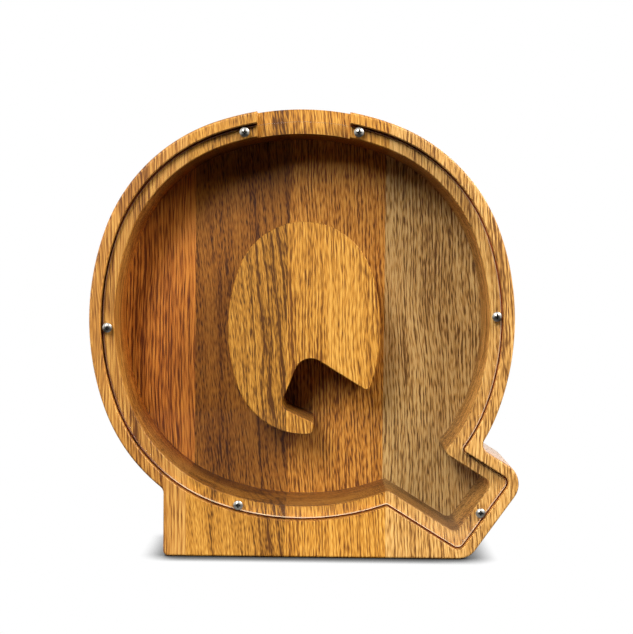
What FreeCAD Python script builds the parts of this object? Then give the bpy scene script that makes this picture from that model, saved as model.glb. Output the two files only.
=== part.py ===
import FreeCAD, Part

import math
import os

from FreeCAD import Vector

# Wooden money box in the shape of a round letter with a slanting tail, standing on a flat foot.
# The body is carved from one blank of four upright staves that are glued edge to edge. Its front is
# a pocket round an island. A clear window lies in a rebate over the pocket and is held by six screws.
# Coins drop through a notch in the top of the rim and fall behind the window.
# Millimetres, +Z up, the front faces -Y, and the origin is the middle of the underside.

# Overall sizes
BOWL_WIDTH = 198.0
BOWL_HEIGHT = 197.4
BODY_DEPTH = 50.0
FOOT_DROP = 12.0            # underside of the foot below the bottom of the bowl

# Ovals are eight tangent arcs, and these angles are where the arcs meet
SIDE_ARC_END = 20.0
TOP_ARC_START = 70.0
BOWL_CORNER_RADIUS = 82.5   # the four slanting arcs of the bowl

# Rim, ledge and pocket
RIM_WIDTH = 5.3             # wood that shows in front, round the window
LEDGE_WIDTH = 6.0           # step that the window lies on
REBATE_DEPTH = 4.5          # front of the rim to the ledge
BACK_THICKNESS = 9.5        # wood behind the floor of the pocket
POCKET_CORNER_RADIUS = 3.5
POCKET_CREASE_RADIUS = 2.5  # where the pocket of the tail runs into the bowl
EDGE_ROUND = 1.2            # outer edges, front and back
INNER_CHAMFER = 0.4         # edges of the rim, the ledge and the island

# Tail
TAIL_REACH = 3.0            # tip of the tail past the side of the bowl
TAIL_TIP_HEIGHT = 35.4
TAIL_TIP_RADIUS = 10.6
TAIL_WIDTH = 51.9
TAIL_ANGLE = 31.7           # degrees below the horizontal
TAIL_END_ANGLE = 54.7       # slope of the tail's end, in degrees

# Foot
FOOT_INSET = 35.0           # side of the foot, in from the side of the bowl
FOOT_CORNER_RADIUS = 2.3
FOOT_END_RADIUS = 10.0      # where the underside turns up into the end of the tail
CREASE_RADIUS = 4.0         # where the bowl runs into the foot and the tail

# Island left standing in the pocket, with a stub of the tail cut into it
ISLAND_WIDTH = 71.4
ISLAND_HEIGHT = 99.8
ISLAND_CORNER_RADIUS = 33.5
ISLAND_SHIFT = 1.1          # island's middle to the right of the bowl's
ISLAND_DROP = 3.5           # and below it
STUB_DROP = 9.2             # upper side of the stub below the island's middle, square to that side
STUB_END_ANGLE = 68.3       # slope of the stub's inner end, in degrees
STUB_LOW_CORNER = (-11.2, -37.1)
STUB_HEEL = (5.0, -44.4)    # these three points are measured from the island's middle
STUB_HEEL_FOOT = (2.6, -56.0)
STUB_HIGH_RADIUS = 8.0
STUB_LOW_RADIUS = 4.2
ISLAND_TIP_RADIUS = 2.0

# Coin notch
SLOT_WIDTH = 43.0
SLOT_GAP = 4.5              # free width for coins, behind the window

# Window
WINDOW_THICKNESS = 3.0
WINDOW_GAP = 0.9            # all round, between the window and the rim
WINDOW_CORNER_RADIUS = 4.0  # corners of the rebate at the end of the tail
WINDOW_CREASE_RADIUS = 1.5
WINDOW_CHAMFER = 0.6        # polished front edge

# Screws
SCREW_LENGTH = 12.0         # under the head
SCREW_TIP = 2.5             # pointed end
POINT_RADIUS = 0.15         # the point is slightly blunt
HEAD_RADIUS = 2.25
HEAD_HEIGHT = 1.4
HEAD_SIDE = 0.7             # straight side of the head, under its dome
THREAD_RADIUS = 1.15
THREAD_DEPTH = 0.3
THREAD_PITCH = 1.1
THREAD_ROOT = 0.8           # width of one ridge at its foot
RECESS_SPAN = 2.6
RECESS_WING = 0.7
RECESS_DEPTH = 0.9
RECESS_TAPER = 0.45         # size of the recess at its bottom, as a share of its mouth
PILOT_CLEARANCE = 0.05
PILOT_EXTRA = 0.5           # pilot hole past the screw's point
WINDOW_HOLE_CLEARANCE = 0.1
RIM_SCREWS = {"screw_top_left": 103.7, "screw_top_right": 77.2, "screw_left": 182.0,
              "screw_right": 1.5, "screw_bottom": 255.4}   # direction that the rim faces, in degrees
TAIL_SCREW_HEIGHT = 21.6

# Staves, from the left. The last one takes the rest of the width
STAVE_NAMES = ("left_stave", "left_centre_stave", "right_centre_stave", "right_stave")
STAVE_WIDTHS = (45.7, 46.3, 47.0)

# Places worked out from the sizes above
OVERALL_WIDTH = BOWL_WIDTH + TAIL_REACH
OVERALL_HEIGHT = BOWL_HEIGHT + FOOT_DROP
LEFT_X = -OVERALL_WIDTH / 2
BOWL_X = LEFT_X + BOWL_WIDTH / 2
BOWL_Z = FOOT_DROP + BOWL_HEIGHT / 2
ISLAND_X = BOWL_X + ISLAND_SHIFT
ISLAND_Z = BOWL_Z - ISLAND_DROP
FRONT_Y = -BODY_DEPTH / 2
BACK_Y = BODY_DEPTH / 2
LEDGE_Y = FRONT_Y + REBATE_DEPTH
FLOOR_Y = BACK_Y - BACK_THICKNESS
WINDOW_Y = LEDGE_Y - WINDOW_THICKNESS
POCKET_INSET = RIM_WIDTH + LEDGE_WIDTH
SCREW_INSET = RIM_WIDTH + LEDGE_WIDTH / 2

# Tolerances for finding edges
NEAR = 1e-4
SHARP_DEGREES = 5.0


# Lines and outlines in the front view, as (x, z)

def direction(degrees):
    return (math.cos(math.radians(degrees)), math.sin(math.radians(degrees)))


def along(line_normal, point):
    """How far a point lies along a normal, measured from the origin."""
    return line_normal[0] * point[0] + line_normal[1] * point[1]


def meet(normal_a, reach_a, normal_b, reach_b):
    """The point where two lines cross, each given by its normal and its distance from the origin."""
    cross = normal_a[0] * normal_b[1] - normal_a[1] * normal_b[0]
    x = (reach_a * normal_b[1] - reach_b * normal_a[1]) / cross
    z = (reach_b * normal_a[0] - reach_a * normal_b[0]) / cross
    return (x, z)


def outline_face(edges):
    return Part.Face(Part.Wire(Part.sortEdges(edges)[0]))


def polygon_face(corners):
    points = [Vector(x, 0, z) for x, z in corners]
    return Part.Face(Part.makePolygon(points + points[:1]))


class Oval:
    """An oval of eight tangent arcs round a middle point."""

    def __init__(self, middle, width, height, corner_radius):
        self.middle = middle
        low = direction(SIDE_ARC_END)
        high = direction(TOP_ARC_START)
        across = width / 2 - corner_radius * (low[0] - high[0])
        up = height / 2 - corner_radius * (high[1] - low[1])
        side_share = 1 - low[0]
        top_share = 1 - high[1]
        cross = side_share * top_share - high[0] * low[1]
        side_radius = (across * top_share - up * high[0]) / cross
        top_radius = (up * side_share - across * low[1]) / cross
        side_x = width / 2 - side_radius
        top_z = height / 2 - top_radius
        corner_x = side_x + (side_radius - corner_radius) * low[0]
        corner_z = (side_radius - corner_radius) * low[1]
        self.arcs = []
        for turn, sign_x, sign_z in ((0, 1, 1), (180, -1, -1)):
            side_start = turn - SIDE_ARC_END
            corner_start = turn + SIDE_ARC_END
            top_start = turn + TOP_ARC_START
            far_corner_start = turn + 180 - TOP_ARC_START
            end = turn + 180 - SIDE_ARC_END
            self.arcs += [
                (sign_x * side_x, 0, side_radius, side_start, corner_start),
                (sign_x * corner_x, sign_z * corner_z, corner_radius, corner_start, top_start),
                (0, sign_z * top_z, top_radius, top_start, far_corner_start),
                (-sign_x * corner_x, sign_z * corner_z, corner_radius, far_corner_start, end),
            ]

    def point(self, angle, inset):
        """The point of the inset oval that faces in this direction."""
        for x, z, radius, start, end in self.arcs:
            if (angle - start) % 360 <= end - start:
                facing = direction(angle)
                reach = radius - inset
                return (self.middle[0] + x + reach * facing[0], self.middle[1] + z + reach * facing[1])

    def face(self, inset=0.0):
        edges = []
        for x, z, radius, start, end in self.arcs:
            ends = []
            for angle in (start, (start + end) / 2, end):
                facing = direction(angle)
                reach = radius - inset
                ends.append(Vector(self.middle[0] + x + reach * facing[0], 0,
                                   self.middle[1] + z + reach * facing[1]))
            edges.append(Part.Arc(*ends).toShape())
        return outline_face(edges)


BOWL = Oval((BOWL_X, BOWL_Z), BOWL_WIDTH, BOWL_HEIGHT, BOWL_CORNER_RADIUS)
ISLAND = Oval((ISLAND_X, ISLAND_Z), ISLAND_WIDTH, ISLAND_HEIGHT, ISLAND_CORNER_RADIUS)

# The tail is a slanting bar: normals and distances of its upper, lower and end lines
TAIL_DIRECTION = direction(-TAIL_ANGLE)
TAIL_UP = direction(90 - TAIL_ANGLE)
TAIL_OUT = direction(TAIL_END_ANGLE - 90)
TIP_MIDDLE = (LEFT_X + OVERALL_WIDTH - TAIL_TIP_RADIUS, TAIL_TIP_HEIGHT)
TAIL_UPPER = along(TAIL_UP, TIP_MIDDLE) + TAIL_TIP_RADIUS
TAIL_LOWER = TAIL_UPPER - TAIL_WIDTH
TAIL_END = along(TAIL_OUT, TIP_MIDDLE) + TAIL_TIP_RADIUS
TAIL_ROOT = along(TAIL_DIRECTION, BOWL.middle)


# Solids cut straight through from front to back

def slab(face, y_from, y_to):
    return face.translated(Vector(0, y_from, 0)).extrude(Vector(0, y_to - y_from, 0))


def face_normal(face, point):
    u, v = face.Surface.parameter(point)
    return face.normalAt(u, v)


def sharp_edges(solid):
    """Edges that run from front to back where two faces meet at an angle."""
    found = []
    for edge in solid.Edges:
        box = edge.BoundBox
        if box.XLength > NEAR or box.ZLength > NEAR:
            continue
        faces = solid.ancestorsOfType(edge, Part.Face)
        middle = edge.CenterOfMass
        turn = face_normal(faces[0], middle).getAngle(face_normal(faces[1], middle))
        if math.degrees(turn) > SHARP_DEGREES:
            found.append(edge)
    return found


def round_corner(solid, corner, radius):
    """Rounds the front-to-back edge at one corner of the outline."""
    target = Vector(corner[0], 0, corner[1])

    def distance(edge):
        middle = edge.CenterOfMass
        return Vector(middle.x, 0, middle.z).distanceToPoint(target)

    return solid.makeFillet(radius, [min(sharp_edges(solid), key=distance)])


def round_rest(solid, radius):
    """Rounds every front-to-back edge that is still sharp."""
    return solid.makeFillet(radius, sharp_edges(solid))


def joined_slab(face, other, y_from, y_to):
    """Two outlines that overlap, cut straight through as one solid."""
    return slab(face, y_from, y_to).fuse(slab(other, y_from, y_to)).removeSplitter().Solids[0]


def tail_corners(inset):
    """Tip, heel and the two inner corners of the tail's bar, drawn in by an inset."""
    upper = TAIL_UPPER - inset
    lower = TAIL_LOWER + inset
    end = TAIL_END - inset
    return [meet(TAIL_UP, upper, TAIL_OUT, end), meet(TAIL_UP, lower, TAIL_OUT, end),
            meet(TAIL_UP, lower, TAIL_DIRECTION, TAIL_ROOT),
            meet(TAIL_UP, upper, TAIL_DIRECTION, TAIL_ROOT)]


def letter_slab(inset, y_from, y_to, corner_radius, crease_radius):
    """Bowl and tail together, drawn in from the outside of the body."""
    corners = tail_corners(inset)
    solid = joined_slab(BOWL.face(inset), polygon_face(corners), y_from, y_to)
    solid = round_corner(solid, corners[0], corner_radius)
    solid = round_corner(solid, corners[1], corner_radius)
    return round_rest(solid, crease_radius)


def drill(radius, place, y_from, depth):
    """Cutter for a round hole from front to back."""
    return Part.makeCylinder(radius, depth, Vector(place[0], y_from, place[1]), Vector(0, 1, 0))


def edges_at(solid, y, tool=None):
    """Edges that lie flat at one depth and, where a tool is given, on that tool's outline."""
    found = []
    for edge in solid.Edges:
        box = edge.BoundBox
        if abs(box.YMin - y) > NEAR or abs(box.YMax - y) > NEAR:
            continue
        middle = edge.valueAt((edge.FirstParameter + edge.LastParameter) / 2)
        if tool is None or tool.isInside(middle, NEAR, True):
            found.append(edge)
    return found


# The carved body

def blank():
    """Outside of the body: bowl, foot and tail, with eased edges."""
    foot_left = LEFT_X + FOOT_INSET
    left_corner = (foot_left, 0)
    right_corner = meet(TAIL_OUT, TAIL_END, (0, 1), 0)
    tip = meet(TAIL_UP, TAIL_UPPER, TAIL_OUT, TAIL_END)
    inside_bowl = meet(TAIL_UP, TAIL_UPPER, TAIL_DIRECTION, TAIL_ROOT)
    foot = polygon_face([left_corner, right_corner, tip, inside_bowl, (foot_left, BOWL_Z)])
    solid = joined_slab(BOWL.face(), foot, FRONT_Y, BACK_Y)
    solid = round_corner(solid, left_corner, FOOT_CORNER_RADIUS)
    solid = round_corner(solid, right_corner, FOOT_END_RADIUS)
    solid = round_corner(solid, tip, TAIL_TIP_RADIUS)
    solid = round_rest(solid, CREASE_RADIUS)
    return solid.makeFillet(EDGE_ROUND, edges_at(solid, FRONT_Y) + edges_at(solid, BACK_Y))


def island():
    """Oval island, with the stub of the tail cut out of it at the tail's own slope."""
    low_corner, heel, heel_foot = [(ISLAND_X + x, ISLAND_Z + z)
                                   for x, z in (STUB_LOW_CORNER, STUB_HEEL, STUB_HEEL_FOOT)]
    stub_end = direction(STUB_END_ANGLE - 90)
    stub_upper = along(TAIL_UP, ISLAND.middle) - STUB_DROP
    high_corner = meet(TAIL_UP, stub_upper, stub_end, along(stub_end, low_corner))
    past_island = ISLAND_X + ISLAND_WIDTH
    far_upper = meet(TAIL_UP, stub_upper, (1, 0), past_island)
    stub = polygon_face([high_corner, low_corner, heel, heel_foot, (past_island, heel_foot[1]), far_upper])
    solid = slab(ISLAND.face(), LEDGE_Y, FLOOR_Y).cut(slab(stub, LEDGE_Y, FLOOR_Y)).Solids[0]
    solid = round_corner(solid, high_corner, STUB_HIGH_RADIUS)
    solid = round_corner(solid, low_corner, STUB_LOW_RADIUS)
    return round_rest(solid, ISLAND_TIP_RADIUS)


def coin_notch():
    """Cutter for the notch, which opens the rim above the pocket."""
    pocket_top = OVERALL_HEIGHT - POCKET_INSET
    island_top = ISLAND_Z + ISLAND_HEIGHT / 2
    low = (pocket_top + island_top) / 2
    depth = REBATE_DEPTH + SLOT_GAP
    corner = Vector(BOWL_X - SLOT_WIDTH / 2, FRONT_Y, low)
    return Part.makeBox(SLOT_WIDTH, depth, OVERALL_HEIGHT - low, corner)


def screw_places():
    """Middle of each screw in the front view, on the middle line of the ledge."""
    places = {name: BOWL.point(angle, SCREW_INSET) for name, angle in RIM_SCREWS.items()}
    places["screw_tail"] = meet(TAIL_OUT, TAIL_END - SCREW_INSET, (0, 1), TAIL_SCREW_HEIGHT)
    return places


def carved_body():
    rebate = letter_slab(RIM_WIDTH, FRONT_Y, LEDGE_Y, WINDOW_CORNER_RADIUS, WINDOW_CREASE_RADIUS)
    pocket = letter_slab(POCKET_INSET, LEDGE_Y, FLOOR_Y, POCKET_CORNER_RADIUS, POCKET_CREASE_RADIUS)
    pocket = pocket.cut(island())
    body = blank().cut(rebate).cut(pocket)
    inner_edges = edges_at(body, FRONT_Y, rebate) + edges_at(body, LEDGE_Y, pocket)
    body = body.makeChamfer(INNER_CHAMFER, inner_edges)
    body = body.cut(coin_notch())
    pilot_depth = SCREW_LENGTH - WINDOW_THICKNESS + PILOT_EXTRA
    for place in screw_places().values():
        body = body.cut(drill(THREAD_RADIUS + PILOT_CLEARANCE, place, LEDGE_Y, pilot_depth))
    return body


def staves():
    """The carved body, parted along its glue lines."""
    body = carved_body()
    lines = [LEFT_X]
    for width in STAVE_WIDTHS:
        lines.append(lines[-1] + width)
    lines.append(LEFT_X + OVERALL_WIDTH)
    parted = {}
    for name, x_from, x_to in zip(STAVE_NAMES, lines, lines[1:]):
        room = Part.makeBox(x_to - x_from, BODY_DEPTH, OVERALL_HEIGHT, Vector(x_from, FRONT_Y, 0))
        parted[name] = body.common(room)
    return parted


# Window and screws

def front_window():
    inset = RIM_WIDTH + WINDOW_GAP
    window = letter_slab(inset, WINDOW_Y, LEDGE_Y, WINDOW_CORNER_RADIUS - WINDOW_GAP,
                         WINDOW_CREASE_RADIUS + WINDOW_GAP)
    window = window.makeChamfer(WINDOW_CHAMFER, edges_at(window, WINDOW_Y))
    for place in screw_places().values():
        window = window.cut(drill(THREAD_RADIUS + WINDOW_HOLE_CLEARANCE, place, WINDOW_Y, WINDOW_THICKNESS))
    return window


def cross_wire(size, height):
    """Outline of the cross recess at one height, at a share of its size at the mouth."""
    half = RECESS_SPAN / 2 * size
    wing = RECESS_WING / 2 * size
    quarter = [(half, -wing), (half, wing), (wing, wing)]
    points = []
    for turn in range(4):
        cos, sin = ((1, 0), (0, 1), (-1, 0), (0, -1))[turn]
        points += [Vector(x * cos - y * sin, x * sin + y * cos, height) for x, y in quarter]
    return Part.makePolygon(points + points[:1])


def screw():
    """Pan-head screw along +Z, with the underside of its head at the origin."""
    cap = HEAD_HEIGHT - HEAD_SIDE
    dome_radius = (HEAD_RADIUS ** 2 + cap ** 2) / (2 * cap)
    half_way = HEAD_RADIUS / 2
    half_way_down = dome_radius - math.sqrt(dome_radius ** 2 - half_way ** 2)
    rim_low = Vector(HEAD_RADIUS, 0, 0)
    rim_high = Vector(HEAD_RADIUS, 0, -HEAD_SIDE)
    top = Vector(0, 0, -HEAD_HEIGHT)
    dome = Part.Arc(rim_high, Vector(half_way, 0, half_way_down - HEAD_HEIGHT), top)
    profile = [Part.makeLine(Vector(), rim_low), Part.makeLine(rim_low, rim_high), dome.toShape(),
               Part.makeLine(top, Vector())]
    head = outline_face(profile).revolve(Vector(), Vector(0, 0, 1), 360)
    mouth = cross_wire(1, -HEAD_HEIGHT)
    bottom = cross_wire(RECESS_TAPER, RECESS_DEPTH - HEAD_HEIGHT)
    return head.cut(Part.makeLoft([mouth, bottom], True, True)).fuse(shank())


def shank():
    """Core, point and one ridge that winds round the core."""
    core_radius = THREAD_RADIUS - THREAD_DEPTH
    core_length = SCREW_LENGTH - SCREW_TIP
    core = Part.makeCylinder(core_radius, core_length)
    point = Part.makeCone(core_radius, POINT_RADIUS, SCREW_TIP, Vector(0, 0, core_length))
    start = THREAD_ROOT
    helix = Part.makeHelix(THREAD_PITCH, core_length - 2 * THREAD_ROOT, core_radius)
    helix.translate(Vector(0, 0, start))
    sunk = core_radius - THREAD_DEPTH / 2
    half = THREAD_ROOT / 2
    section = [(sunk, start - half), (THREAD_RADIUS, start), (sunk, start + half), (sunk, start - half)]
    ridge_outline = Part.makePolygon([Vector(x, 0, z) for x, z in section])
    ridge = Part.Wire(helix.Edges).makePipeShell([ridge_outline], True, True)
    return core.fuse(point).fuse(ridge).removeSplitter()


def screws():
    """One copy of the screw at each place, its head on the window."""
    pattern = screw()
    placed = {}
    for name, (x, z) in screw_places().items():
        copy = pattern.copy()
        copy.rotate(Vector(), Vector(1, 0, 0), -90)
        copy.translate(Vector(x, WINDOW_Y, z))
        placed[name] = copy
    return placed


def main():
    os.makedirs("parts", exist_ok=True)
    pieces = staves()
    pieces["front_window"] = front_window()
    pieces.update(screws())
    for name, shape in pieces.items():
        solid = shape.Solids[0]
        solid.exportStep(f"parts/{name}.step")
        print(name, "solids", len(shape.Solids), "valid", solid.isValid(), "volume", round(solid.Volume, 2))


main()
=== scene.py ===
import math
from dataclasses import dataclass

import bpy
from mathutils import Matrix, Vector


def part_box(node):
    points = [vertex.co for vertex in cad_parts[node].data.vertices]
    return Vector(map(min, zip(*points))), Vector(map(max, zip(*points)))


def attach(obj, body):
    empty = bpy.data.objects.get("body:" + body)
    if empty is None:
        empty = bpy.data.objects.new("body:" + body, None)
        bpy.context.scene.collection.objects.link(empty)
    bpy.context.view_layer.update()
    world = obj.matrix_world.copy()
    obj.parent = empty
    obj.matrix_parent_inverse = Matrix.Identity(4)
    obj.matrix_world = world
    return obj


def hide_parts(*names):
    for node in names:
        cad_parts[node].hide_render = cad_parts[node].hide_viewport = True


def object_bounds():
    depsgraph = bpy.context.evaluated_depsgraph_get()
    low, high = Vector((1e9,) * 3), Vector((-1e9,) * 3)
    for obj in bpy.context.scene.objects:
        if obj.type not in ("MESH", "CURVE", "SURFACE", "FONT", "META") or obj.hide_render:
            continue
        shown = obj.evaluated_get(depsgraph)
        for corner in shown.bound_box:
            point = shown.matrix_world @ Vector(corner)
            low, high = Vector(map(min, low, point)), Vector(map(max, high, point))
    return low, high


# Looks of a wooden money box: four oiled oak staves, a clear acrylic window and six zinc screws.
# Metres, +Z up, the front faces -Y. Places and sizes in a material's figure are in millimetres, but its
# reaches and reliefs are in metres.

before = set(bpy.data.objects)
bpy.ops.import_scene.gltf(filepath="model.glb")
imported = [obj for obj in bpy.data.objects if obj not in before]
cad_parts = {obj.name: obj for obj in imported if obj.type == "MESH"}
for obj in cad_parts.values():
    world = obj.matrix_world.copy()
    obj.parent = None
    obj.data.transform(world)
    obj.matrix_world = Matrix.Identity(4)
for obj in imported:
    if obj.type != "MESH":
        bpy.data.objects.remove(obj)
cad_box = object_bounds()

# Camera, as the photograph was taken
CAMERA_PLACE = Vector((0.0089, -0.632, 0.1415))
CAMERA_PITCH = 2.71         # degrees below the horizon
CAMERA_YAW = 0.34
CAMERA_ROLL = -0.58
FOCAL_PIXELS = 1310.0
IMAGE_LONG_SIDE = 634
SENSOR_WIDTH = 36.0

# Floor
FLOOR_RADIUS = 0.6
FLOOR_SIDES = 96
FLOOR_BOUNCE = 0.05         # how pale the floor is to the object
FLOOR_MIRROR_FROM = 0.06    # up to here the object mirrors the floor as white, and it fades to here
FLOOR_MIRROR_TO = 0.18
CONTACT_REACH = 0.0115      # how far the object darkens the floor round its foot
CONTACT_TOWARDS = (0.15, 0.7, 0.7)                          # where the floor looks for the object
CONTACT_SHADES = ((0.25, 0.0), (0.57, 0.3), (0.97, 1.0))    # how open the floor is, and how pale

# Studio
AMBIENT = 0.015
WALL_BRIGHTNESS = 1.5       # of the studio as the object mirrors it, dark only round the camera
FRONT_DARK_FROM = 0.7       # cosines of the angle off straight ahead: walls full, walls dark
FRONT_DARK_TO = 0.94
LIGHT_DISTANCE = 4.0
SOFTBOXES = {               # azimuth from the front, elevation, width, height, power
    "key": (-18.0, 30.0, 1.0, 1.75, 158.0),
    "right": (40.0, 36.0, 1.4, 1.6, 110.0),
    "high": (0.0, 65.0, 1.8, 1.8, 8.0),
    "right_side": (66.0, 32.0, 2.0, 2.0, 95.0),
    "left_side": (-75.0, 22.0, 2.5, 2.5, 60.0),
    "back": (160.0, 35.0, 3.0, 3.0, 170.0),
}

MM = 1000.0                 # millimetres in a metre


def linear(red, green, blue):
    """A colour given as 8-bit sRGB, as the linear colour that shaders take."""
    shares = []
    for value in (red, green, blue):
        share = value / 255
        shares.append(share / 12.92 if share <= 0.04045 else ((share + 0.055) / 1.055) ** 2.4)
    return (*shares, 1.0)


def grey(value):
    return (value, value, value, 1.0)


class Graph:
    """The nodes of one material or world, with short calls for adding and linking them."""

    def __init__(self, owner):
        self.owner = owner
        owner.use_nodes = True
        self.tree = owner.node_tree
        self.tree.nodes.clear()

    def feed(self, socket, value):
        if isinstance(value, bpy.types.NodeSocket):
            self.tree.links.new(value, socket)
        else:
            socket.default_value = value

    def node(self, kind, inputs=None, **settings):
        made = self.tree.nodes.new("ShaderNode" + kind)
        for key, value in settings.items():
            setattr(made, key, value)
        for key, value in (inputs or {}).items():
            self.feed(made.inputs[key], value)
        return made

    def math(self, operation, *values):
        return self.node("Math", dict(enumerate(values)), operation=operation).outputs[0]

    def vector(self, operation, *values):
        return self.node("VectorMath", dict(enumerate(values)), operation=operation).outputs[0]

    def apart(self, vector):
        return self.node("SeparateXYZ", {0: vector}).outputs

    def place(self):
        """The place on the object, in millimetres."""
        return self.vector("MULTIPLY", self.node("TexCoord").outputs["Object"], (MM, MM, MM))

    def rise(self, value, low, high):
        """0 below low, 1 above high, and smooth between. It falls where low is the larger."""
        inputs = {0: value, 1: low, 2: high, 3: 0.0, 4: 1.0}
        return self.node("MapRange", inputs, interpolation_type="SMOOTHSTEP").outputs[0]

    def lerp(self, share, first, second):
        return self.node("Mix", {0: share, 2: first, 3: second}, data_type="FLOAT").outputs[0]

    def blend(self, share, first, second, kind="MIX"):
        inputs = {0: share, 6: first, 7: second}
        return self.node("Mix", inputs, data_type="RGBA", blend_type=kind).outputs[2]

    def noise(self, place, cell, detail=0.0):
        """Noise about zero, whose spots measure about cell along each axis."""
        stretched = self.vector("DIVIDE", place, cell)
        inputs = {"Vector": stretched, "Scale": 1.0, "Detail": detail}
        return self.math("SUBTRACT", self.node("TexNoise", inputs).outputs[0], 0.5)

    def total(self, start, *terms):
        """A starting value and any number of (value, weight) terms, added up."""
        for value, weight in terms:
            start = self.math("MULTIPLY_ADD", value, weight, start)
        return start

    def ramp(self, value, stops):
        made = self.node("ValToRGB", {0: value})
        elements = made.color_ramp.elements
        elements[0].position, elements[0].color = stops[0]
        elements[1].position, elements[1].color = stops[-1]
        for position, colour in stops[1:-1]:
            elements.new(position).color = colour
        return made.outputs[0]

    def surface(self, shader, output="OutputMaterial"):
        self.node(output, {"Surface": shader})
        return self.owner


@dataclass
class Timber:
    """Colours and figure of one stave."""
    dark: tuple
    middle: tuple
    light: tuple
    deep: tuple             # tint of the wood at the bottom of the pocket: partly its own colour, partly painted shade
    line_strength: float    # of the fine lines along the grain
    line_length: float
    pore_strength: float
    pore_length: float
    lean: float             # how far the grain runs to the left, for each millimetre up
    ring_width: float
    ring_strength: float
    ring_from: float        # x at which the growth rings begin to show
    seed: float
    bands: tuple = ()       # along the grain: (x, half width, how much paler in front, and in the pocket)


# Each deep tint is partly the wood's colour in the pocket and partly painted shade
STAVES = {
    "left_stave": Timber(
        dark=linear(97, 53, 14), middle=linear(175, 118, 51), light=linear(206, 154, 78),
        deep=linear(246, 210, 168), line_strength=0.31, line_length=40.0, pore_strength=1.0,
        pore_length=8.0, lean=0.02, ring_width=5.5, ring_strength=0.15, ring_from=-101.0, seed=11.0,
        bands=((-57.6, 3.0, 0.2, 0.2), (-79.0, 3.0, -0.15, -0.15))),
    "left_centre_stave": Timber(
        dark=linear(85, 47, 11), middle=linear(178, 120, 42), light=linear(212, 157, 71),
        deep=linear(190, 168, 142), line_strength=0.2, line_length=18.0, pore_strength=0.95,
        pore_length=3.0, lean=0.1, ring_width=4.2, ring_strength=0.4, ring_from=-34.0, seed=37.0,
        bands=((-42.6, 0.9, -0.2, -0.2), (-13.5, 5.0, -0.13, 0.12))),
    "right_centre_stave": Timber(
        dark=linear(107, 60, 16), middle=linear(191, 129, 45), light=linear(220, 164, 76),
        deep=linear(236, 222, 208), line_strength=0.36, line_length=28.0, pore_strength=1.15,
        pore_length=4.0, lean=0.05, ring_width=5.0, ring_strength=0.1, ring_from=-101.0, seed=71.0),
    "right_stave": Timber(
        dark=linear(106, 65, 24), middle=linear(193, 140, 70), light=linear(222, 175, 104),
        deep=linear(226, 233, 246), line_strength=0.36, line_length=28.0, pore_strength=1.15,
        pore_length=4.0, lean=0.04, ring_width=4.5, ring_strength=0.1, ring_from=-101.0, seed=103.0,
        bands=((40.9, 2.5, 0.15, 0.15),)),
}

# The grain sways from side to side and its growth rings wander. A cell is the size of a noise's spots
# across, through and along the grain.
SWAY_CELL = (40.0, 40.0, 90.0)
SWAY_WIDTH = 9.0
WANDER_CELL = (10.0, 10.0, 40.0)
RING_WANDER = 1.8           # in rings
RING_SLANT = 0.3            # how far a ring runs aside for each millimetre of depth
RING_FADE = 15.0            # distance over which the rings begin to show
LATE_WOOD = (0.5, 1.0)      # from where in a ring to where it darkens

# Fine lines, as waves across the grain. Warp, wobble and slant are in radians of a wave.
LINE_PITCH = 1.6
LINE_SLANT = 2.0            # for each millimetre of depth
LINE_MEAN = 0.5             # strength of a line that neither fades nor stands out
LINE_FADE = 1.5
FADE_WIDTH = 3.0
WARP = 8.0
WARP_WIDTH = 2.0
WOBBLE = 1.5
WOBBLE_CELL = (2.0, 2.0, 3.0)

# Pores, streaks, patches and bands
PORE_WIDTH = 0.34
STREAK_STRENGTH = 0.7
STREAK_CELL = (3.5, 3.5, 80.0)
PATCH_STRENGTH = 0.5
PATCH_CELL = (14.0, 14.0, 70.0)
BAND_WANDER = 4.0
BAND_SOFTNESS = 0.6         # share of a band's half width that its sides fade over, inwards and outwards

# Tones at which the wood has its dark, middle and light colour
DARK_TONE = 0.1
MIDDLE_TONE = 0.5
LIGHT_TONE = 0.9

# Marks that the cutter left on the walls, each along one depth
MARK_LENGTH = 30.0
MARK_PITCH = 3.5
MARK_STRENGTH = 1.0
WALL_FACING = (0.7, 0.3)    # how far a face looks to the front or back: marks begin, marks full

# Depth at which the deep tint of the pocket, partly the wood's own colour and partly painted shade, begins
# to show, and where it is full
DEEP_FROM = -14.0
DEEP_TO = 15.0
DEEP_CONTRAST = 0.5         # how much stronger its fine lines are

# Tints of the faces that aren't flat to the front: end grain soaks up more oil, and faces that look to the
# sides get painted light, paler and warmer
END_GRAIN = linear(188, 176, 160)
SIDE_PAINTED_LIGHT = (1.25, 1.2, 1.05, 1.0)
TINT_AND_PAINTED_LIGHT_FACING = (0.4, 0.9)   # how far a face looks along the axis: tint and painted light begin, are full

# Painted shade in the corner of the rebate, which lies in front of this depth
CORNER_PAINTED_SHADE = linear(150, 50, 30)
CORNER_REACH = 0.0015
CORNER_OPEN = (0.95, 0.55)  # how open the place is: painted shade begins, painted shade full
CORNER_DEPTH = -20.0
CORNER_FADE = 1.0

# Shine and relief of the wood
WOOD_ROUGHNESS = 0.45
WOOD_SPECULAR = 0.22
LINE_SHINE = 0.06
PORE_SHINE = 0.2
LINE_HEIGHT = 0.2
PORE_HEIGHT = 1.0
WOOD_BUMP = 0.4
WOOD_RELIEF = 0.00015


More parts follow.
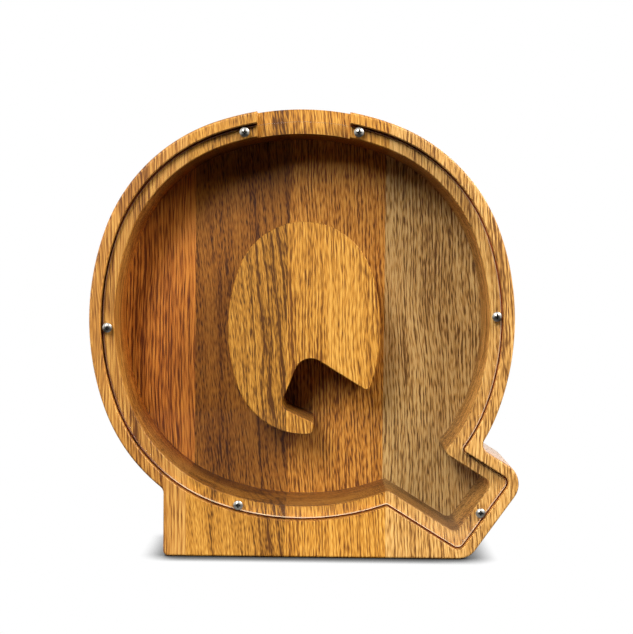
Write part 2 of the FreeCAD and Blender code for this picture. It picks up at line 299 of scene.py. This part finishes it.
def wood_figure(g, timber, place, deep):
    """The wood's tone, and its fine lines and pores on their own, all drawn out along the grain."""
    x, y, z = g.apart(place)
    shifted = g.vector("ADD", place, (timber.seed, timber.seed * 2, timber.seed * 3))

    # The grain leans and sways a little from side to side
    sway = g.noise(shifted, SWAY_CELL, detail=1.0)
    aside = g.total(0.0, (z, timber.lean), (sway, SWAY_WIDTH))
    grain = g.vector("ADD", shifted, g.node("CombineXYZ", {0: aside}).outputs[0])
    across = g.apart(grain)[0]

    # Growth rings, each darker towards one side
    wander = g.noise(shifted, WANDER_CELL, detail=2.0)
    age = g.total(0.0, (across, 1 / timber.ring_width), (y, RING_SLANT / timber.ring_width),
                  (wander, RING_WANDER))
    late = g.rise(g.math("FRACT", age), *LATE_WOOD)
    late = g.math("MULTIPLY", late, g.rise(x, timber.ring_from, timber.ring_from + RING_FADE))

    # Fine lines that fork and fade, and short pores
    warp = g.noise(grain, (WARP_WIDTH, WARP_WIDTH, timber.line_length))
    wobble = g.noise(grain, WOBBLE_CELL)
    turns = g.total(0.0, (across, 2 * math.pi / LINE_PITCH), (y, LINE_SLANT), (warp, WARP), (wobble, WOBBLE))
    fade = g.noise(grain, (FADE_WIDTH, FADE_WIDTH, timber.line_length))
    line = g.math("MULTIPLY", g.math("SINE", turns), g.total(LINE_MEAN, (fade, LINE_FADE)))
    pore = g.noise(grain, (PORE_WIDTH, PORE_WIDTH, timber.pore_length))
    fine = g.total(0.0, (line, timber.line_strength), (pore, timber.pore_strength))
    contrast = g.total(1.0, (deep, DEEP_CONTRAST))

    # Streaks, patches and bands
    streak = g.noise(grain, STREAK_CELL, detail=1.0)
    patch = g.noise(grain, PATCH_CELL, detail=1.0)
    tone = g.total(MIDDLE_TONE, (fine, contrast), (streak, STREAK_STRENGTH), (patch, PATCH_STRENGTH),
                   (late, -timber.ring_strength))
    for band_x, half_width, front_shift, deep_shift in timber.bands:
        off = g.math("ABSOLUTE", g.total(-band_x, (x, 1.0), (wander, BAND_WANDER)))
        in_band = g.rise(off, half_width * (1 + BAND_SOFTNESS), half_width * (1 - BAND_SOFTNESS))
        tone = g.total(tone, (in_band, g.lerp(deep, front_shift, deep_shift)))
    return tone, line, pore


def wood_tints(g, timber, colour, depth, deep, facing):
    """The colour with the pocket's tint, which is partly painted shade, the end grain's tint, painted light
    on faces that look to the sides, and painted shade in the corner of the rebate.
    """
    # The pocket's tint: partly the wood's own colour, partly painted shade
    colour = g.blend(deep, colour, timber.deep, "MULTIPLY")
    # End grain darker; faces that look to the sides paler and warmer, as painted light
    for axis, tint_and_painted_light in ((0, SIDE_PAINTED_LIGHT), (2, END_GRAIN)):
        colour = g.blend(g.rise(facing[axis], *TINT_AND_PAINTED_LIGHT_FACING), colour, tint_and_painted_light, "MULTIPLY")
    # Painted shade where the rebate's corner closes in, found by ambient occlusion
    open_share = g.node("AmbientOcclusion", {"Distance": CORNER_REACH}, only_local=True).outputs["AO"]
    in_rebate = g.rise(depth, CORNER_DEPTH + CORNER_FADE, CORNER_DEPTH)
    painted_shade = g.math("MULTIPLY", g.rise(open_share, *CORNER_OPEN), in_rebate)
    return g.blend(painted_shade, colour, CORNER_PAINTED_SHADE, "MULTIPLY")


def wood(name, timber):
    """Oiled ring-porous hardwood with its grain upright, as a solid texture."""
    g = Graph(bpy.data.materials.new(name))
    place = g.place()
    depth = g.apart(place)[1]
    deep = g.rise(depth, DEEP_FROM, DEEP_TO)
    facing = g.apart(g.vector("ABSOLUTE", g.node("TexCoord").outputs["Normal"]))

    tone, line, pore = wood_figure(g, timber, place, deep)
    mark = g.noise(place, (MARK_LENGTH, MARK_PITCH, MARK_LENGTH), detail=1.0)
    tone = g.total(tone, (g.math("MULTIPLY", mark, g.rise(facing[1], *WALL_FACING)), MARK_STRENGTH))
    stops = [(DARK_TONE, timber.dark), (MIDDLE_TONE, timber.middle), (LIGHT_TONE, timber.light)]
    colour = wood_tints(g, timber, g.ramp(tone, stops), depth, deep, facing)

    roughness = g.total(WOOD_ROUGHNESS, (line, -LINE_SHINE), (pore, -PORE_SHINE))
    height = g.total(0.0, (line, LINE_HEIGHT), (pore, PORE_HEIGHT))
    bump = g.node("Bump", {"Strength": WOOD_BUMP, "Distance": WOOD_RELIEF, "Height": height})
    shader = g.node("BsdfPrincipled", {
        "Base Color": colour, "Roughness": roughness, "Normal": bump.outputs[0],
        "Specular IOR Level": WOOD_SPECULAR})
    return g.surface(shader.outputs[0])


WINDOW_HAIR = 0.00006       # hair of air between the window's faces and what they lie against

# Polished faces of the window
CLEAR_TINT = (0.995, 1.0, 1.0, 1.0)
GLOSS_ROUGHNESS = 0.04
STRAIGHT_GLOSS = 0.025      # share of the light that a polished face throws straight back
GRAZING_POWER = 5.0         # the higher, the nearer to grazing a look has to be to find more gloss

# How far a face of the window looks to the front or back: where its kind begins, and where it is full
POLISHED_FACING = (0.3, 0.95)
CHAMFER_FACING = (0.95, 0.8)
CUT_EDGE_FACING = (0.5, 0.2)

# Where on the outline an edge lies
NOTCH_MIDDLE = -1.5         # x of the coin notch
NOTCH_HALF = 21.5
NOTCH_FADE = 1.0
UPWARD = (0.5, 0.8)         # how far an edge looks up: it begins to count as the notch's, it fully does
UP_OR_LEFT = (0.5, 0.75)    # how far an edge looks up or to the left: lit, painted as shaded by the rim

# How far the chamfer and the cut edges hide what lies behind them, and what colour they have. Edges in the
# rim's shade are opaque and dark, as painted shade.
CHAMFER_FROST = 0.06
NOTCH_EDGE_FROST = 0.25
SHADED_EDGE_FROST = 1.0
LIT_EDGE_FROST = 0.7
FROST_PALE = linear(255, 228, 190)
FROST_DARK_AND_PAINTED_SHADE = linear(86, 36, 22)
LIT_DARK = 0.1              # share of the dark colour in all edges, and what the rim's painted shade and the notch add to it
SHADED_DARK = 0.8
NOTCH_DARK = 0.7
SAW_CELL = (0.4, 3.0, 0.4)
SAW_STRENGTH = 0.4
FROST_ROUGHNESS = 0.35
FROST_SPECULAR = 0.1


def polished_face(g, facing):
    """Clear, with a faint gloss that grows at a grazing angle."""
    clear = g.node("BsdfTransparent", {"Color": CLEAR_TINT}).outputs[0]
    gloss = g.node("BsdfGlossy", {"Color": grey(1.0), "Roughness": GLOSS_ROUGHNESS}).outputs[0]
    grazing = g.math("POWER", g.node("LayerWeight").outputs["Facing"], GRAZING_POWER)
    share = g.total(STRAIGHT_GLOSS, (grazing, 1 - STRAIGHT_GLOSS))
    share = g.math("MULTIPLY", share, g.rise(facing, *POLISHED_FACING))
    return g.node("MixShader", {0: share, 1: clear, 2: gloss}).outputs[0]


def frosted_edge(g, place, in_notch, shaded):
    """Sawn edge, pale where it is lit, with painted shade where the rim shades it."""
    saw = g.noise(place, SAW_CELL, detail=2.0)
    # The dark share: saw marks, painted shade where the rim shades the edge, and the coin notch
    dark = g.total(LIT_DARK, (shaded, SHADED_DARK), (in_notch, NOTCH_DARK), (saw, SAW_STRENGTH))
    shader = g.node("BsdfPrincipled", {
        "Base Color": g.blend(dark, FROST_PALE, FROST_DARK_AND_PAINTED_SHADE), "Roughness": FROST_ROUGHNESS,
        "Specular IOR Level": FROST_SPECULAR})
    return shader.outputs[0]


def acrylic():
    """Clear sheet: faint gloss on its faces, a slightly dull chamfer and cut edges.

    The edges at the top and left are painted dark and made opaque as the rim's shade. In the coin notch the
    edge is nearly clear. The others catch the light.
    """
    g = Graph(bpy.data.materials.new("clear_window"))
    place = g.place()

    # Seen from inside the sheet, a normal comes turned over, and is turned back here
    inside = g.node("NewGeometry").outputs["Backfacing"]
    normal = g.vector("MULTIPLY", g.node("TexCoord").outputs["Normal"], g.total(1.0, (inside, -2.0)))
    facing = g.math("ABSOLUTE", g.apart(normal)[1])
    outward = g.apart(g.vector("NORMALIZE", g.vector("MULTIPLY", normal, (1.0, 0.0, 1.0))))

    # Where on the outline the edge is: in the coin notch, in the rim's painted shade, or lit
    from_notch = g.math("ABSOLUTE", g.math("SUBTRACT", g.apart(place)[0], NOTCH_MIDDLE))
    near_notch = g.rise(from_notch, NOTCH_HALF + NOTCH_FADE, NOTCH_HALF)
    in_notch = g.math("MULTIPLY", near_notch, g.rise(outward[2], *UPWARD))
    up_or_left = g.math("MAXIMUM", outward[2], g.math("MULTIPLY", outward[0], -1.0))
    shaded = g.math("MULTIPLY", g.rise(up_or_left, *UP_OR_LEFT), g.total(1.0, (in_notch, -1.0)))
    lit = g.total(1.0, (shaded, -1.0), (in_notch, -1.0))

    edge = g.total(NOTCH_EDGE_FROST, (lit, LIT_EDGE_FROST - NOTCH_EDGE_FROST),
                   (shaded, SHADED_EDGE_FROST - NOTCH_EDGE_FROST))
    chamfer = g.math("MULTIPLY", g.rise(facing, *CHAMFER_FACING), CHAMFER_FROST)
    frosted = g.lerp(g.rise(facing, *CUT_EDGE_FACING), chamfer, edge)
    sheet = g.node("MixShader", {
        0: frosted, 1: polished_face(g, facing), 2: frosted_edge(g, place, in_notch, shaded)})
    return g.surface(sheet.outputs[0])


# Zinc of the screws
ZINC_DARK = linear(96, 93, 87)
ZINC_PALE = linear(150, 147, 140)
ZINC_SMOOTH = 0.24          # roughness of its dark and its pale spots
ZINC_DULL = 0.36
MOTTLE_CELL = (0.5, 0.5, 0.5)
MOTTLE_BUMP = 0.15
MOTTLE_RELIEF = 0.00005
RECESS_PAINTED_SHADE = linear(26, 24, 22)
RECESS_REACH = 0.0008       # how far the walls of the recess reach with the painted shade
RECESS_OPEN = (0.4, 0.85)   # how open the place is: full painted shade, bare zinc


def zinc():
    """Zinc plate with a fine mottle, with painted shade in the recess."""
    g = Graph(bpy.data.materials.new("screw_steel"))
    mottle = g.math("ADD", g.noise(g.place(), MOTTLE_CELL, detail=3.0), 0.5)
    colour = g.blend(mottle, ZINC_DARK, ZINC_PALE)
    # Painted shade in the recess
    open_share = g.node("AmbientOcclusion", {"Distance": RECESS_REACH}).outputs["AO"]
    colour = g.blend(g.rise(open_share, *RECESS_OPEN), RECESS_PAINTED_SHADE, colour)
    roughness = g.lerp(mottle, ZINC_SMOOTH, ZINC_DULL)
    bump = g.node("Bump", {"Strength": MOTTLE_BUMP, "Distance": MOTTLE_RELIEF, "Height": mottle})
    shader = g.node("BsdfPrincipled", {
        "Base Color": colour, "Metallic": 1.0, "Roughness": roughness, "Normal": bump.outputs[0]})
    return g.surface(shader.outputs[0])


def dress(node_name, material):
    """Gives a node of the CAD its material."""
    for material_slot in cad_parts[node_name].material_slots:
        material_slot.material = material


def window_sheet():
    """The window, a hair thinner on both faces, so that neither lies in a face of the wood or the screws."""
    low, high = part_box("front_window")
    middle = Matrix.Translation((0.0, (low.y + high.y) / 2, 0.0))
    thinner = Matrix.Scale(1 - 2 * WINDOW_HAIR / (high.y - low.y), 4, (0.0, 1.0, 0.0))
    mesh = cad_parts["front_window"].data.copy()
    mesh.transform(middle @ thinner @ middle.inverted())
    mesh.materials.clear()
    mesh.materials.append(acrylic())
    sheet = bpy.data.objects.new("window_sheet", mesh)
    bpy.context.scene.collection.objects.link(sheet)
    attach(sheet, "window")
    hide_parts("front_window")


def dress_object():
    for name, timber in STAVES.items():
        dress(name, wood(name, timber))
    window_sheet()
    steel = zinc()
    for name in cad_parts:
        if name.startswith("screw_"):
            dress(name, steel)


def floor_material():
    """White with a soft contact shadow, sending little light back to the object."""
    g = Graph(bpy.data.materials.new("floor"))
    towards = g.node("CombineXYZ", dict(enumerate(CONTACT_TOWARDS))).outputs[0]
    open_share = g.node("AmbientOcclusion", {"Distance": CONTACT_REACH, "Normal": towards}).outputs["AO"]
    shade = g.ramp(open_share, [(share, grey(pale)) for share, pale in CONTACT_SHADES])
    seen = g.node("Emission", {"Color": shade}).outputs[0]
    dim = g.node("BsdfDiffuse", {"Color": grey(FLOOR_BOUNCE)}).outputs[0]
    ray = g.node("LightPath").outputs
    place = g.node("TexCoord").outputs["Object"]
    off = g.node("VectorMath", {0: place}, operation="LENGTH").outputs["Value"]
    mirrored = g.math("MULTIPLY", ray["Is Glossy Ray"], g.rise(off, FLOOR_MIRROR_TO, FLOOR_MIRROR_FROM))
    shown = g.math("MAXIMUM", ray["Is Camera Ray"], mirrored)
    return g.surface(g.node("MixShader", {0: shown, 1: dim, 2: seen}).outputs[0])


def floor():
    """A round plate under the object."""
    rim = []
    for i in range(FLOOR_SIDES):
        turn = 2 * math.pi * i / FLOOR_SIDES
        rim.append((FLOOR_RADIUS * math.cos(turn), FLOOR_RADIUS * math.sin(turn), 0.0))
    mesh = bpy.data.meshes.new("floor")
    mesh.from_pydata(rim, [], [list(range(FLOOR_SIDES))])
    mesh.materials.append(floor_material())
    plate = bpy.data.objects.new("floor", mesh)
    bpy.context.scene.collection.objects.link(plate)


def surroundings():
    """White to the camera, a dim even light on the object, and pale walls for it to mirror."""
    g = Graph(bpy.data.worlds.new("studio"))
    white = grey(1.0)
    towards_front = g.math("MULTIPLY", g.apart(g.node("TexCoord").outputs["Generated"])[1], -1.0)
    walls = g.math("MULTIPLY", g.rise(towards_front, FRONT_DARK_TO, FRONT_DARK_FROM), WALL_BRIGHTNESS)
    ray = g.node("LightPath").outputs
    seen = g.node("Background", {"Color": white}).outputs[0]
    dim = g.node("Background", {"Color": white, "Strength": AMBIENT}).outputs[0]
    mirrored = g.node("Background", {"Color": white, "Strength": walls}).outputs[0]
    rest = g.node("MixShader", {0: ray["Is Glossy Ray"], 1: dim, 2: mirrored}).outputs[0]
    shown = g.node("MixShader", {0: ray["Is Camera Ray"], 1: rest, 2: seen}).outputs[0]
    bpy.context.scene.world = g.surface(shown, "OutputWorld")


def lights():
    """Softboxes round the object, each turned to its middle."""
    middle = (cad_box[0] + cad_box[1]) / 2
    for name, (azimuth, elevation, width, height, power) in SOFTBOXES.items():
        light = bpy.data.lights.new(name, "AREA")
        light.shape = "RECTANGLE"
        light.size = width
        light.size_y = height
        light.energy = power
        lamp = bpy.data.objects.new(name, light)
        level = math.cos(math.radians(elevation))
        towards = Vector((math.sin(math.radians(azimuth)) * level, -math.cos(math.radians(azimuth)) * level,
                          math.sin(math.radians(elevation))))
        lamp.location = middle + towards * LIGHT_DISTANCE
        lamp.rotation_mode = "QUATERNION"
        lamp.rotation_quaternion = (-towards).to_track_quat("-Z", "Y")
        bpy.context.scene.collection.objects.link(lamp)


def camera():
    """The photograph's view."""
    data = bpy.data.cameras.new("camera")
    data.sensor_width = SENSOR_WIDTH
    data.lens = SENSOR_WIDTH * FOCAL_PIXELS / IMAGE_LONG_SIDE
    eye = bpy.data.objects.new("camera", data)
    turn = (Matrix.Rotation(math.radians(CAMERA_YAW), 4, "Z")
            @ Matrix.Rotation(math.radians(90 - CAMERA_PITCH), 4, "X")
            @ Matrix.Rotation(math.radians(-CAMERA_ROLL), 4, "Z"))
    eye.matrix_world = Matrix.Translation(CAMERA_PLACE) @ turn
    bpy.context.scene.collection.objects.link(eye)
    bpy.context.scene.camera = eye


dress_object()
floor()
surroundings()
lights()
camera()
bpy.context.scene.view_settings.view_transform = "Standard"
